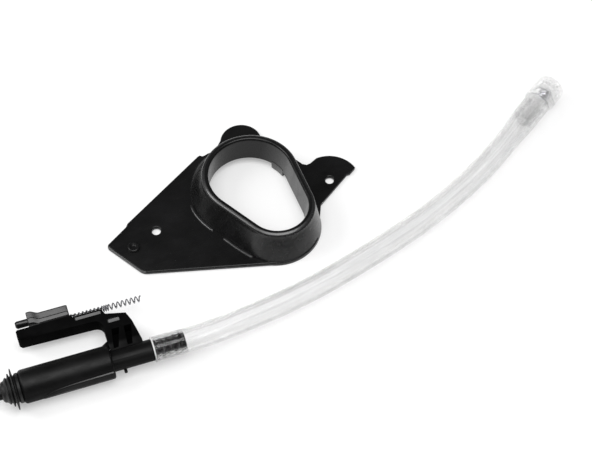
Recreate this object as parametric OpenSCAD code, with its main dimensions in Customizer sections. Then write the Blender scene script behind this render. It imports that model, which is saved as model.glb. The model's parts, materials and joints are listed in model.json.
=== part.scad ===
// Siphon pump kit: a forked pump head with a bellows bulb and a latch slider,
// its clear suction hose with a foot valve, and the egg-collar bracket.
// The origin is the centre of the bracket's left screw hole, on the surface the kit lies on.
// +X runs along the pump from the nozzle to the hose, +Z is up.

/* [Pump body] */
// Diameter of the barrel
barrel_d = 17; // [15:0.5:20]
// Length of the barrel between its front shoulder and the collar
barrel_len = 46; // [40:1:60]
// Radius of the rounded front shoulder
shoulder_r = 1.8; // [0.5:0.1:2.5]
// Depth of the flat land along the near side of the barrel, at its rear end
land_depth = 0.9; // [0.3:0.1:1.2]
// Length of the ramp at the front of the land
land_ramp = 12; // [8:1:16]
// Diameter of the pump chamber
chamber_d = 8.8; // [7:0.1:9.2]
// Diameter of the rear collar
collar_d = 11; // [10.6:0.1:13]
// Length of the rear collar
collar_len = 20.7; // [18:0.5:26]
// Length of the front neck that holds the bulb
neck_len = 2.4; // [2:0.1:3]
// Outside diameter of the front neck
neck_d = 11.2; // [10.8:0.1:12]

/* [Fork] */
// Height of the arm and of the bridge
arm_h = 8.4; // [7:0.2:10]
// Distance from the barrel axis to the inner face of the arm at its tip
arm_offset = 23.6; // [20:0.2:28]
// Thickness of the arm at its tip
arm_t = 5.9; // [4.5:0.1:7]
// Length of the arm in front of the slot's root
arm_len = 42; // [38:1:52]
// How much thicker the arm is at the slot's root
arm_taper = 1.3; // [0:0.1:2]
// Length of the bridge at the arm
bridge_len = 12.6; // [11:0.2:16]
// How far the bridge's rear edge runs back towards the collar
bridge_slant = 3.9; // [2:0.1:5]
// Depth of the recesses in the bridge
pocket_depth = 6.4; // [3:0.2:7]
// Length of the recesses from the collar towards the arm
pocket_len = 9.9; // [7:0.1:12]
// Radius of the fillet at the slot's outer corner
slot_fillet = 4; // [1:0.5:6]

/* [Latch] */
// Length of the slider's pad
pad_len = 20.7; // [16:0.5:24]
// Thickness of the pad outside its rail block
pad_t = 3.3; // [2.5:0.1:4.5]
// Height of the pad
pad_h = 6.8; // [6:0.2:8]
// Height of the finger ridge above the pad
ridge_h = 1.6; // [0.8:0.1:2.5]
// Diameter of the latch pin
latch_pin_d = 4.4; // [3.6:0.1:5]
// Length of the latch pin in front of the pad
latch_pin_len = 6.4; // [4:0.2:8]
// Height of the guide rail's head
rail_h = 3.2; // [2.6:0.1:3.6]
// Gap between the slider and its rail
rail_gap = 0.2; // [0.1:0.05:0.3]
// Mean diameter of the latch spring
latch_spring_d = 2.9; // [2.6:0.1:3.2]
// Wire of the latch spring
latch_wire_d = 0.7; // [0.5:0.05:0.75]

/* [Hose tail] */
// Diameter of the spigot in the collar
spigot_d = 8.2; // [7.6:0.1:8.6]
// Bore through the tail
tail_bore_d = 4.2; // [3.4:0.1:4.4]
// Length of the barbed end in the hose
barb_len = 16.6; // [12:0.2:20]
// Height of each barb
barb_h = 0.5; // [0.3:0.05:0.6]
// Diameter of the cross pin that keeps the tail in
tail_pin_d = 1.6; // [1.4:0.1:1.8]
// Section of the sealing ring
ring_section_d = 1; // [0.8:0.1:1.2]

/* [Valves] */
// Diameter of the inlet valve ball
inlet_ball_d = 5; // [4.8:0.1:5.6]
// Diameter of the outlet valve ball
outlet_ball_d = 4; // [3.6:0.1:4.4]
// Wire of the valve springs
valve_wire_d = 0.4; // [0.35:0.05:0.5]
// Wire of the return spring
return_wire_d = 0.7; // [0.5:0.05:0.9]

/* [Bulb and nozzle] */
// Diameter of the bulb's large lip
lip_d = 20.8; // [19:0.2:24]
// Diameter of the bulb's second lip
second_lip_d = 16.6; // [15:0.2:18]
// Diameter of the bulb's folds between the lips
fold_d = 13.6; // [13.2:0.1:14.4]
// Length of the bulb from the shoulder to its nose
bulb_len = 9.5; // [9:0.1:11]
// Diameter of the nozzle tip
tip_d = 6.8; // [6:0.1:7.2]
// Length of the nozzle tip outside the bulb
tip_len = 8.7; // [6:0.1:12]
// Width of the slot in the nozzle tip
tip_slot = 3; // [2:0.1:3.6]

/* [Hose and foot valve] */
// Outside diameter of the hose
hose_d = 12.6; // [11.6:0.1:13]
// Wall of the hose
hose_wall = 1.55; // [1.3:0.05:1.7]
// How much wider the hose is over the foot valve's barb
hose_flare = 1.8; // [1:0.1:2.4]
// Diameter of the foot valve's cap
foot_d = 16; // [15:0.2:17]
// Length of the foot valve outside the hose
foot_len = 15; // [13:0.5:18]
// Diameter of the foot valve ball
foot_ball_d = 7; // [6.4:0.1:8]

/* [Bracket] */
// Distance between the two screw holes
hole_spacing = 97.6; // [95:0.2:100]
// Diameter of the screw holes
screw_hole_d = 4.6; // [3.5:0.1:5.5]
// Thickness of the plate
plate_t = 2.5; // [2:0.1:3.5]
// Height of the collar's rim above the resting face
rim_h = 20; // [17:0.5:24]
// Width of the collar's rim
rim_w = 3.8; // [3:0.1:4.5]
// Radius of the large end of the egg opening
egg_r = 22.1; // [20:0.1:23]
// Radius of the small end of the egg opening
egg_small_r = 16; // [14:0.1:17]
// Distance between the centres of the two ends
egg_pitch = 24.8; // [22:0.2:27]
// How far the collar's wall spreads from rim to plate
collar_flare = 4.7; // [3:0.1:6]
// Thickness of the collar's walls
collar_wall = 2; // [1.6:0.1:2.6]
// Depth of the inner skirt below the rim
skirt_depth = 14.5; // [9:0.5:15]
// Diameter of the peg's head
peg_d = 6.4; // [5.4:0.1:7]
// Height of the peg's head
peg_h = 1.6; // [1:0.1:2.4]

/* [Layout] */
// Distance of the pump's axis from the bracket's screw holes
pump_y = -73; // [-76:0.5:-70]
// Place of the collar's rear face along X
pump_x = -21.3; // [-22:0.1:-20]
// Angle between the bracket's hole line and the pump
bracket_turn = 1.4; // [0:0.1:3]

/* [Hidden] */

$fn = 48;
eps = 0.01;
black = [0.07, 0.07, 0.075];
rubber = [0.1, 0.1, 0.1];
steel = [0.7, 0.7, 0.72];
clear = [0.85, 0.87, 0.88, 0.5];
axis_z = lip_d / 2;

// Stations along the pump's axis, from the collar's rear face
barrel_x = -collar_len;
shoulder_x = barrel_x - barrel_len;
neck_x = shoulder_x - neck_len;
nose_x = shoulder_x - bulb_len;
tip_x = nose_x - tip_len;

// Inlet valve: the ball sits on the front edge of the tail's bore
spigot_x = barrel_x + 1.7;
ball_play = 0.03;
inlet_ball_x = spigot_x - sqrt(pow(inlet_ball_d / 2, 2) - pow(tail_bore_d / 2, 2)) - ball_play;
spring_rest = 0.3;
inlet_spring_len = 5;
cage_len = 4;
cage_x = inlet_ball_x - inlet_ball_d / 2 - spring_rest - inlet_spring_len;
cage_bore_d = 2.2;
cage_hole_d = 1.2;
cage_hole_r = 2.9;

// Nozzle: a piston in the chamber, a flange in the bulb's nose and a slotted tip
piston_len = 8;
piston_play = 0.08;
piston_x = neck_x + 3;
valve_bore_d = 5.2;
valve_bore_len = 9;
seat_len = 2.5;
seat_bore_d = 2.6;
seat_x = piston_x + piston_len - seat_len;
outlet_ball_x = seat_x - sqrt(pow(outlet_ball_d / 2, 2) - pow(seat_bore_d / 2, 2)) - ball_play;
outlet_spring_x = piston_x + piston_len - valve_bore_len;
outlet_spring_len = outlet_ball_x - outlet_ball_d / 2 - spring_rest - outlet_spring_x;
stem_d = 7.2;
outlet_bore_d = 2.4;
nose_wall = 1.8;
nose_flange_d = 9.4;
nose_flange_t = 1;
nose_play = 0.05;
return_seat_play = 0.05;

// Hose tail
tail_bore_r = tail_bore_d / 2;
hose_bore_d = hose_d - 2 * hose_wall;
ring_x = -5;
tail_pin_x = barrel_x + 5.2;
tail_pin_z = -(tail_bore_r + tail_pin_d / 2 + 0.25);
tail_pin_out = 1.9;
barbs = 5;

// Fork
slot_x = barrel_x + 0.5;
arm_tip_x = slot_x - arm_len;
arm_outer = arm_offset + arm_t;
rear_step = 1.5;
lip_w = 1.5;
lip_rise = 0.9;
rear_step_x = slot_x - 13.5;
barrel_edge = 1.2;
land_start = 4.5;

// Latch: rail block against the arm, pad outside it
rail_neck_h = rail_h / 2;
rail_neck_t = 1.4;
rail_t = 1.2;
block_gap = 0.3;
block_wall = 1;
block_t = rail_neck_t + rail_t + block_wall - block_gap;
block_y = arm_outer + block_gap;
pad_y = block_y + block_t;
pad_gap = 0.9;
pad_rear_x = rear_step_x - pad_gap;
pad_front_x = pad_rear_x - pad_len;
slot_end = 2.4;
latch_forward = 3;
rail_rear_x = pad_rear_x - slot_end - latch_forward - 0.3;
rail_front_x = pad_front_x + 0.5;
latch_pin_y = pad_y + pad_t - latch_pin_d / 2 + 0.9;
latch_spring_y = arm_outer + (latch_spring_d + latch_wire_d) / 2 + 0.3;
latch_spring_z = -1;
spigot_r = (latch_spring_d - latch_wire_d) / 2 - 0.1;
cradle_len = 8.1;
cradle_w = 5;
cradle_t = 1.2;
cradle_rear_x = slot_x + 0.8;

// Bracket, in its own frame: the left screw hole at the origin, the right one along X
egg_place = [55.1, 6.7];
egg_turn = -73.6;
egg_far = egg_place + egg_pitch * [cos(egg_turn), sin(egg_turn)];
flare_shift = [-1.6, -0.2];
base_far = egg_far + flare_shift;
base_r = egg_small_r + rim_w + collar_flare;
base_tangent = 255;
skirt_draft = 0.6;
skirt_shift = flare_shift * 0.8;
rim_round = 0.8;
egg_small_steps = 16;
egg_large_steps = 24;
right_hole = [hole_spacing, 0];
peg_place = [-14.2, -6.4];
peg_shank_d = 3.2;
ear_r = 16.4;
lobe_place = [61, 41.2];
lobe_r = 11.3;
dish_d = 7.4;
dish_depth = 0.5;

// Route of the hose: from the collar over the barbs, then lying in one long curve
hose_route = [
    [-21.3, -73, 10.4],
    [-13, -73, 10.4],
    [-4, -73, 10.2],
    [6, -72.4, 9.7],
    [18, -71, 9],
    [34, -68.4, 7.8],
    [52, -65, 6.8],
    [72, -60.4, 6.3],
    [92, -54.8, 6.3],
    [112, -48.5, 6.3],
    [132, -41.4, 6.3],
    [152, -32.8, 6.3],
    [170, -23.5, 6.3],
    [186, -13.8, 6.4],
    [200, -4.2, 6.8],
    [208, 1.4, 7.4],
    [215, 6.4, 7.8],
    [223, 12, 8]
];
// How far the hose is stretched over the foot valve's barb at each point of the route
hose_stretch = [0, 0, 0, 0, 0, 0, 0, 0, 0, 0, 0, 0, 0, 0, 0.1, 0.8, 1, 1];
foot_turn = 35;
foot_barb_len = 16;
foot_flange_len = 5;
foot_flange_r = foot_d / 2 + 0.4;
foot_bore_d = 5;
foot_seat_x = 4;
foot_wall = 1.6;
foot_ball_x = foot_seat_x + sqrt(pow(foot_ball_d / 2, 2) - pow(foot_bore_d / 2, 2)) + ball_play;
foot_slots = 4;

// Places a piece of the pump, whose frame has its origin on the collar's rear face
module on_pump() {
    translate([pump_x, pump_y, axis_z]) children();
}

// Places a piece of the foot valve, whose frame has its origin on the hose's end
module on_foot() {
    translate(hose_route[len(hose_route) - 1]) rotate([0, 0, foot_turn]) children();
}

// Turns the bracket about its left screw hole
module on_bracket() {
    rotate([0, 0, bracket_turn]) children();
}

// A cylinder along X from station a to station b
module rod(a, b, d) {
    translate([min(a, b), 0, 0]) rotate([0, 90, 0]) cylinder(h = abs(b - a), d = d);
}

// Turns a profile of [radius, station] points round the X axis
module turned(profile) {
    rotate([0, 90, 0]) rotate_extrude() polygon(profile);
}

// Points of an arc about c from angle a to angle b
function arc(c, r, a, b, n) = [for (i = [0:n]) c + r * [cos(a + (b - a) * i / n), sin(a + (b - a) * i / n)]];

function unit(v) = v / norm(v);
function tangent(p, i) = unit(p[min(i + 1, len(p) - 1)] - p[max(i - 1, 0)]);
function last(v) = v[len(v) - 1];

// Least distance between points of a path that lie at least skip steps apart
function least_gap(p, skip, d) =
    min([for (i = [0:len(p) - skip - 1]) min([for (j = [i + skip:len(p) - 1]) norm(p[i] - p[j])])]) - d;

// Turns done at each station of a spring whose runs are [turns, pitch]
function run_x(runs, t, i = 0) =
    i >= len(runs) - 1 || t <= runs[i][0]
        ? t * runs[i][1]
        : runs[i][0] * runs[i][1] + run_x(runs, t - runs[i][0], i + 1);
function run_turns(runs, i = 0) = i >= len(runs) ? 0 : runs[i][0] + run_turns(runs, i + 1);

// Centreline of a spring along X, with a straight end of one wire diameter at each side
spring_rings = 8;
function coil_point(x, r, t) = [x, r * cos(360 * t), r * sin(360 * t)];
function spring_path(runs, mean_d, wire) =
    let (turns = run_turns(runs), n = round(turns * spring_rings), r = mean_d / 2)
    concat(
        [coil_point(0, r, 0)],
        [for (i = [0:n]) coil_point(wire + run_x(runs, turns * i / n), r, turns * i / n)],
        [coil_point(2 * wire + run_x(runs, turns), r, turns)]
    );
function radial(p) = unit([0, p[1], p[2]]);

// One closed skin over rings of points that all have the same count
module skin(rings) {
    sides = len(rings[0]);
    ends = len(rings) - 1;
    polyhedron(
        points = [for (r = rings) for (p = r) p],
        faces = concat(
            [[for (j = [sides - 1:-1:0]) j]],
            [for (i = [0:ends - 1]) for (j = [0:sides - 1])
                let (a = i * sides + j, b = i * sides + (j + 1) % sides)
                [a, b, b + sides]],
            [for (i = [0:ends - 1]) for (j = [0:sides - 1])
                let (a = i * sides + j, b = i * sides + (j + 1) % sides)
                [a, b + sides, a + sides]],
            [[for (j = [0:sides - 1]) ends * sides + j]]
        )
    );
}

// A wire spring along X, one unbroken tube
wire_sides = 6;
module wire_spring(runs, mean_d, wire) {
    path = spring_path(runs, mean_d, wire);
    skin([for (i = [0:len(path) - 1])
        let (t = tangent(path, i), n = radial(path[i]), b = unit(cross(t, n)), m = cross(b, t))
        [for (k = [0:wire_sides - 1])
            path[i] + wire / 2 * (cos(360 * k / wire_sides) * m + sin(360 * k / wire_sides) * b)]]);
}

// Springs, as runs of [turns, pitch]
latch_runs = [[8, 2], [3, 1.1], [7, 2.35]];
inlet_runs = [[3, (inlet_spring_len - 2 * valve_wire_d) / 3]];
outlet_turns = 2;
outlet_runs = [[outlet_turns, (outlet_spring_len - 2 * valve_wire_d) / outlet_turns]];
return_turns = 7;
return_gap = cage_x - cage_len - piston_x - piston_len - 2 * return_seat_play;
return_runs = [[return_turns, (return_gap - 2 * return_wire_d) / return_turns]];
valve_spring_d = 2.8;
return_spring_d = 7;
echo(latch_spring_least_gap =
    least_gap(spring_path(latch_runs, latch_spring_d, latch_wire_d), spring_rings - 2, latch_wire_d));

// Outline of the land's cutter along the barrel's near side
module barrel_land() {
    near = -barrel_d / 2;
    start = shoulder_x + land_start;
    translate([0, 0, -barrel_d / 2]) linear_extrude(barrel_d) polygon([
        [start, near - eps],
        [start + land_ramp / 2, near + land_depth * 0.4],
        [start + land_ramp, near + land_depth * 0.6],
        [barrel_x + 1, near + land_depth],
        [barrel_x + 1, near - 2],
        [start, near - 2]
    ]);
}

// Outside of the barrel with its rounded shoulder, the neck with its bead, and the collar
module barrel_outside() {
    r = barrel_d / 2;
    bead = 0.5;
    turned(concat(
        [[0, 0], [collar_d / 2 - 0.4, 0], [collar_d / 2, -0.4], [collar_d / 2, barrel_x]],
        arc([r - barrel_edge, barrel_x - barrel_edge], barrel_edge, 90, 0, 4),
        arc([r - shoulder_r, shoulder_x + shoulder_r], shoulder_r, 0, -90, 6),
        [[neck_d / 2, shoulder_x], [neck_d / 2, neck_x + bead], [neck_d / 2 - bead, neck_x], [0, neck_x]]
    ));
}

// The bridge from the collar to the arm, with its slanted rear edge
module bridge_web() {
    reach = arm_offset - arm_taper;
    rear = slot_x + bridge_len;
    linear_extrude(arm_h, center = true) polygon([
        [slot_x, 2],
        [slot_x, reach],
        [slot_x + 2.7, reach + 2.7],
        [rear, reach + 0.2],
        [rear + bridge_slant / 2, reach - 5.3],
        [rear + bridge_slant, collar_d / 2],
        [rear + bridge_slant, 2]
    ]);
}

// The arm: chamfered tip, thicker root, stepped back beside the spring
module arm() {
    tip_chamfer = 1.3;
    linear_extrude(arm_h, center = true) polygon([
        [arm_tip_x, arm_offset + tip_chamfer],
        [arm_tip_x + tip_chamfer, arm_offset],
        [slot_x, arm_offset - arm_taper],
        [slot_x + 2, arm_offset - arm_taper],
        [slot_x + 2.7, arm_offset - arm_taper + 2.7],
        [slot_x + 1.5, arm_outer - rear_step],
        [rear_step_x, arm_outer - rear_step],
        [rear_step_x, arm_outer],
        [arm_tip_x + 0.8, arm_outer],
        [arm_tip_x, arm_outer - 0.8]
    ]);
}

// Fillet at the slot's outer corner
module slot_corner() {
    f = slot_fillet;
    translate([slot_x, arm_offset - arm_taper, 0]) linear_extrude(arm_h, center = true) difference() {
        translate([-f, -f]) square(f + 0.3);
        translate([-f, -f]) circle(f);
        translate([-2 * f, -2 * f]) square([f, 3 * f]);
        translate([-2 * f, -2 * f]) square([3 * f, f]);
    }
}

// Small web between the barrel and the bridge, inside the slot
module slot_gusset() {
    linear_extrude(arm_h * 0.5, center = true) polygon([
        [slot_x + eps, barrel_d / 2 + 2.2],
        [slot_x - 4.5, barrel_d / 2 - 0.6],
        [slot_x + eps, barrel_d / 2 - 0.6]
    ]);
}

// Two recesses in the top of the bridge, side by side from the collar, each wider at its far end
module bridge_pockets() {
    low = collar_d / 2;
    near_w = 2.5;
    far_w = 3.8;
    skew = 1.6;
    pitch = bridge_len * 0.56;
    for (i = [0, 1])
        translate([slot_x + 1.9 + i * pitch, low, arm_h / 2 - pocket_depth])
            linear_extrude(pocket_depth + 1)
            polygon([[0, 0], [near_w, 0], [skew * (1 - i / 2) + far_w, pocket_len], [skew * (1 - i / 2), pocket_len]]);
}

// Raised lip along a far edge at y, its slope towards the barrel
module edge_lip(front, rear, y) {
    translate([front, y - lip_w, arm_h / 2 - eps]) rotate([90, 0, 90]) linear_extrude(rear - front)
        polygon([[0, 0], [lip_w, 0], [lip_w, lip_rise], [lip_w - 0.3, lip_rise]]);
}

// T-rail on the arm's outer face, and the cradle under the spring
module latch_rail() {
    length = rail_rear_x - rail_front_x;
    translate([rail_front_x, arm_outer - eps, -rail_neck_h / 2]) cube([length, rail_neck_t + eps, rail_neck_h]);
    translate([rail_front_x, arm_outer + rail_neck_t, -rail_h / 2]) cube([length, rail_t, rail_h]);
    spring_low = latch_spring_z - (latch_spring_d + latch_wire_d) / 2;
    translate([cradle_rear_x - cradle_len, arm_outer - rear_step - eps, spring_low - cradle_t - 0.1])
        cube([cradle_len, cradle_w, cradle_t]);
}

module pump_body() {
    color(black) on_pump() difference() {
        union() {
            barrel_outside();
            bridge_web();
            arm();
            slot_corner();
            slot_gusset();
            latch_rail();
            edge_lip(rear_step_x + 1.2, slot_x + 0.9, arm_outer - rear_step - 0.4);
            edge_lip(slot_x + 2.9, slot_x + bridge_len - 3.4, arm_offset - arm_taper - 1.2);
        }
        barrel_land();
        bridge_pockets();
        rod(1, spigot_x, spigot_d);
        rod(spigot_x, neck_x - 1, chamber_d);
        translate([tail_pin_x, -collar_d, tail_pin_z]) rotate([-90, 0, 0])
            cylinder(h = collar_d + 3.4, d = tail_pin_d);
    }
}

// Barbed tail: spigot with a ring groove, five saw-tooth barbs and a through bore
module hose_tail() {
    peak = hose_bore_d / 2;
    root = peak - barb_h;
    barb = barb_len / barbs;
    groove = ring_section_d * 1.2;
    saw = [for (i = [0:barbs - 1]) each [[peak, i * barb + 0.4], [peak, i * barb + 0.9], [root, (i + 1) * barb]]];
    color(black) on_pump() difference() {
        turned(concat(
            [[tail_bore_r, spigot_x], [spigot_d / 2, spigot_x], [spigot_d / 2, ring_x - groove / 2],
                [spigot_d / 2 - ring_section_d, ring_x - groove / 2],
                [spigot_d / 2 - ring_section_d, ring_x + groove / 2], [spigot_d / 2, ring_x + groove / 2],
                [spigot_d / 2, 0], [root, 0]],
            saw,
            [[tail_bore_r, barb_len]]
        ));
        translate([tail_pin_x, -collar_d, tail_pin_z]) rotate([-90, 0, 0]) cylinder(h = 2 * collar_d, d = tail_pin_d);
    }
}

module tail_ring() {
    color(rubber) on_pump() translate([ring_x, 0, 0]) rotate([0, 90, 0]) rotate_extrude()
        translate([spigot_d / 2 - ring_section_d / 2, 0]) circle(d = ring_section_d, $fn = 24);
}

module tail_pin() {
    surface_y = -sqrt(pow(collar_d / 2, 2) - pow(tail_pin_z, 2));
    color(black) on_pump() translate([tail_pin_x, surface_y - tail_pin_out, tail_pin_z]) rotate([-90, 0, 0])
        cylinder(h = tail_pin_out - surface_y + 3.2, d = tail_pin_d);
}

module inlet_ball() {
    color(steel) on_pump() translate([inlet_ball_x, 0, 0]) sphere(d = inlet_ball_d);
}

module inlet_spring() {
    color(steel) on_pump() translate([cage_x, 0, 0]) wire_spring(inlet_runs, valve_spring_d, valve_wire_d);
}

// Cage: a ring pressed in the chamber, which stops the spring and lets the liquid through
module valve_cage() {
    color(black) on_pump() difference() {
        rod(cage_x - cage_len, cage_x, chamber_d);
        rod(cage_x - cage_len - 1, cage_x + 1, cage_bore_d);
        for (a = [45:90:315])
            rotate([a, 0, 0]) translate([0, cage_hole_r, 0]) rod(cage_x - cage_len - 1, cage_x + 1, cage_hole_d);
    }
}

module return_spring() {
    color(steel) on_pump() translate([piston_x + piston_len + return_seat_play, 0, 0])
        wire_spring(return_runs, return_spring_d, return_wire_d);
}

// Nozzle: piston, stem, nose groove and the slotted tip
module nozzle_tip() {
    inner = nose_x + nose_wall;
    r = tip_d / 2;
    color(black) on_pump() difference() {
        turned([
            [0, tip_x], [r - 0.8, tip_x], [r, tip_x + 0.8], [r, inner],
            [nose_flange_d / 2, inner], [nose_flange_d / 2, inner + nose_flange_t],
            [stem_d / 2, inner + nose_flange_t], [stem_d / 2, piston_x],
            [chamber_d / 2 - piston_play, piston_x], [chamber_d / 2 - piston_play, piston_x + piston_len],
            [0, piston_x + piston_len]
        ]);
        rod(outlet_spring_x, piston_x + piston_len + 1, valve_bore_d);
        rod(tip_x - 1, outlet_spring_x + 1, outlet_bore_d);
        translate([tip_x - 1, -tip_slot / 2, -tip_d]) cube([tip_len - 0.8, tip_slot, 2 * tip_d]);
    }
}

module outlet_seat() {
    color(steel) on_pump() difference() {
        rod(seat_x, piston_x + piston_len, valve_bore_d);
        rod(seat_x - 1, piston_x + piston_len + 1, seat_bore_d);
    }
}

module outlet_ball() {
    color(steel) on_pump() translate([outlet_ball_x, 0, 0]) sphere(d = outlet_ball_d);
}

module outlet_spring() {
    color(steel) on_pump() translate([outlet_spring_x, 0, 0]) wire_spring(outlet_runs, valve_spring_d, valve_wire_d);
}

// Rubber bellows: skirt on the neck, two lips, folds and a domed nose
module bulb() {
    fold = fold_d / 2;
    lip = lip_d / 2;
    second = second_lip_d / 2;
    inner = chamber_d / 2 + 0.9;
    s = shoulder_x;
    nose_r = tip_d / 2 + nose_play;
    color(rubber) on_pump() turned([
        [neck_d / 2, s], [fold + 0.8, s], [fold + 0.8, s - 1.4], [fold, s - 2],
        [fold, s - 2.4], [lip - 0.6, s - 2.7], [lip, s - 2.9], [lip, s - 3.3], [lip - 0.6, s - 3.5],
        [fold, s - 3.7], [fold, s - 4.1], [second, s - 4.5], [second, s - 5],
        [fold - 0.4, s - 5.4], [fold - 0.4, s - 5.8], [fold - 0.1, s - 6.1], [fold - 0.1, s - 6.6],
        [fold - 1.4, s - 7.6], [nose_r + 1.7, s - 8.7], [nose_r + 0.8, nose_x], [nose_r, nose_x],
        [nose_r, nose_x + nose_wall], [inner, nose_x + nose_wall], [inner, neck_x], [neck_d / 2, neck_x + 0.2]
    ]);
}

// Slider: rail block with a T-slot, pad with a finger ridge, pin and spring spigot
module latch_slider() {
    length = pad_rear_x - pad_front_x;
    block_h = rail_h + 2 * (rail_gap + block_wall * 0.9);
    neck_h = rail_neck_h + 2 * rail_gap;
    outer = pad_y + pad_t;
    slot_len = length + 1 - slot_end;
    color(black) on_pump() difference() {
        union() {
            translate([pad_front_x, block_y, -block_h / 2]) cube([length, block_t + eps, block_h]);
            linear_extrude(pad_h, center = true) polygon([
                [pad_front_x, pad_y], [pad_front_x, outer + ridge_h - 0.3], [pad_front_x + 0.5, outer + ridge_h],
                [pad_front_x + 1.6, outer + ridge_h], [pad_front_x + 5, outer], [pad_rear_x - 1.2, outer],
                [pad_rear_x, outer - 1.2], [pad_rear_x, pad_y]
            ]);
            translate([0, latch_pin_y, 0]) turned([
                [0, pad_front_x - latch_pin_len], [latch_pin_d / 2 - 0.8, pad_front_x - latch_pin_len],
                [latch_pin_d / 2, pad_front_x - latch_pin_len + 0.8], [latch_pin_d / 2, pad_front_x + 2],
                [0, pad_front_x + 2]
            ]);
            translate([0, latch_spring_y, latch_spring_z]) rod(pad_rear_x - 1, pad_rear_x + 3, 2 * spigot_r);
        }
        translate([pad_front_x - 1, block_y - 1, -neck_h / 2]) cube([slot_len, 1 + rail_neck_t, neck_h]);
        translate([pad_front_x - 1, arm_outer + rail_neck_t - rail_gap, -rail_h / 2 - rail_gap])
            cube([slot_len, rail_t + 2 * rail_gap, rail_h + 2 * rail_gap]);
    }
}

module latch_spring() {
    color(steel) on_pump() translate([pad_rear_x, latch_spring_y, latch_spring_z])
        wire_spring(latch_runs, latch_spring_d, latch_wire_d);
}

// Rings of the hose at the points of its route, outside and inside
hose_sides = 12;
function hose_ring(i, r) =
    let (t = i == 0 ? [1, 0, 0] : tangent(hose_route, i), side = unit(cross([0, 0, 1], t)), up = cross(t, side))
    [for (k = [0:hose_sides - 1])
        hose_route[i] + r * (cos(360 * k / hose_sides) * side + sin(360 * k / hose_sides) * up)];

module hose() {
    count = len(hose_route);
    n = hose_sides;
    outside = [for (i = [0:count - 1]) hose_ring(i, (hose_d + hose_stretch[i] * hose_flare) / 2)];
    inside = [for (i = [0:count - 1])
        hose_ring(i, (hose_bore_d + hose_stretch[i] * hose_flare) / 2 / cos(180 / n))];
    m = count * n;
    color(clear) polyhedron(
        points = concat([for (r = outside) each r], [for (r = inside) each r]),
        faces = concat(
            [for (i = [0:count - 2]) for (j = [0:n - 1]) let (a = i * n + j, b = i * n + (j + 1) % n) [a, b, b + n]],
            [for (i = [0:count - 2]) for (j = [0:n - 1]) let (a = i * n + j, b = i * n + (j + 1) % n) [a, b + n, a + n]],
            [for (i = [0:count - 2]) for (j = [0:n - 1]) let (a = m + i * n + j, b = m + i * n + (j + 1) % n) [a, b + n, b]],
            [for (i = [0:count - 2]) for (j = [0:n - 1]) let (a = m + i * n + j, b = m + i * n + (j + 1) % n) [a, a + n, b + n]],
            [for (j = [0:n - 1]) let (k = (j + 1) % n) [j, m + j, m + k]],
            [for (j = [0:n - 1]) let (k = (j + 1) % n) [j, m + k, k]],
            [for (j = [0:n - 1]) let (k = (j + 1) % n, e = m - n) [e + j, m + e + k, m + e + j]],
            [for (j = [0:n - 1]) let (k = (j + 1) % n, e = m - n) [e + j, e + k, m + e + k]]
        )
    );
}

// Foot valve body: barb in the hose, hexagonal flange and the cup for the ball
module foot_valve_body() {
    peak = (hose_bore_d + hose_flare) / 2 - 0.1;
    cup_r = foot_ball_d / 2 + 0.6;
    color(clear) on_foot() difference() {
        union() {
            turned([[0, -foot_barb_len], [peak - 1.2, -foot_barb_len], [peak, -foot_barb_len + 5.5],
                [peak - 0.7, -foot_barb_len + 5.6], [peak, -foot_barb_len + 11], [peak - 0.7, -foot_barb_len + 11.1],
                [peak - 0.7, 0], [0, 0]]);
            rotate([30, 0, 0]) rotate([0, 90, 0]) cylinder(h = foot_flange_len, r = foot_flange_r, $fn = 6);
            rod(foot_flange_len - eps, foot_len - 4, 2 * (cup_r + foot_wall));
        }
        rod(-foot_barb_len - 1, foot_seat_x + 1, foot_bore_d);
        rod(foot_seat_x, foot_len, 2 * cup_r);
    }
}

module foot_valve_ball() {
    color(steel) on_foot() translate([foot_ball_x, 0, 0]) sphere(d = foot_ball_d);
}

// Foot valve cap: a cup pressed over the body, with inlet slots in its rounded front
module foot_valve_cap() {
    r = foot_d / 2;
    cup_r = foot_ball_d / 2 + 0.6 + foot_wall;
    color(clear) on_foot() difference() {
        turned(concat(
            [[cup_r, foot_flange_len], [r, foot_flange_len]],
            arc([r - 2.5, foot_len - 2.5], 2.5, 0, 90, 6),
            [[0, foot_len], [0, foot_len - 1.5], [cup_r, foot_len - 1.5]]
        ));
        for (i = [0:foot_slots - 1]) rotate([90 * i + 45, 0, 0])
            translate([foot_len - 3, 2.2, -0.9]) cube([4, cup_r - 3, 1.8]);
    }
}

// Points of the egg's outline grown by g: the small end's arc, then the large end's
function egg_points(g, shift = [0, 0]) =
    let (lean = acos((egg_r - egg_small_r) / egg_pitch))
    concat(
        arc(egg_far + shift, egg_small_r + g, egg_turn - lean, egg_turn + lean, egg_small_steps),
        arc(egg_place + shift, egg_r + g, egg_turn + lean, egg_turn + 360 - lean, egg_large_steps)
    );

// The collar's section, as [growth, height, shift]: outer wall, rounded rim, inner skirt and the hollow
collar_section = [
    [rim_w + collar_flare, 0, flare_shift],
    [rim_w, rim_h - 3, [0, 0]],
    [rim_w, rim_h - rim_round, [0, 0]],
    [rim_w - rim_round, rim_h, [0, 0]],
    [rim_round, rim_h, [0, 0]],
    [0, rim_h - rim_round, [0, 0]],
    [-skirt_draft, rim_h - skirt_depth, skirt_shift],
    [collar_wall - skirt_draft, rim_h - skirt_depth, skirt_shift],
    [rim_w / 2, rim_h - 3, [0, 0]],
    [rim_w + collar_flare - collar_wall, 0, flare_shift]
];

// The collar: its section carried once round the egg
module collar() {
    rings = [for (p = collar_section) [for (q = egg_points(p[0], p[2])) [q[0], q[1], p[1]]]];
    n = len(rings[0]);
    m = len(rings);
    polyhedron(
        points = [for (r = rings) each r],
        faces = [for (i = [0:m - 1]) for (j = [0:n - 1])
            let (a = i * n, b = ((i + 1) % m) * n, k = (j + 1) % n)
            each [[a + j, b + j, b + k], [a + j, b + k, a + k]]]
    );
}

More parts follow.
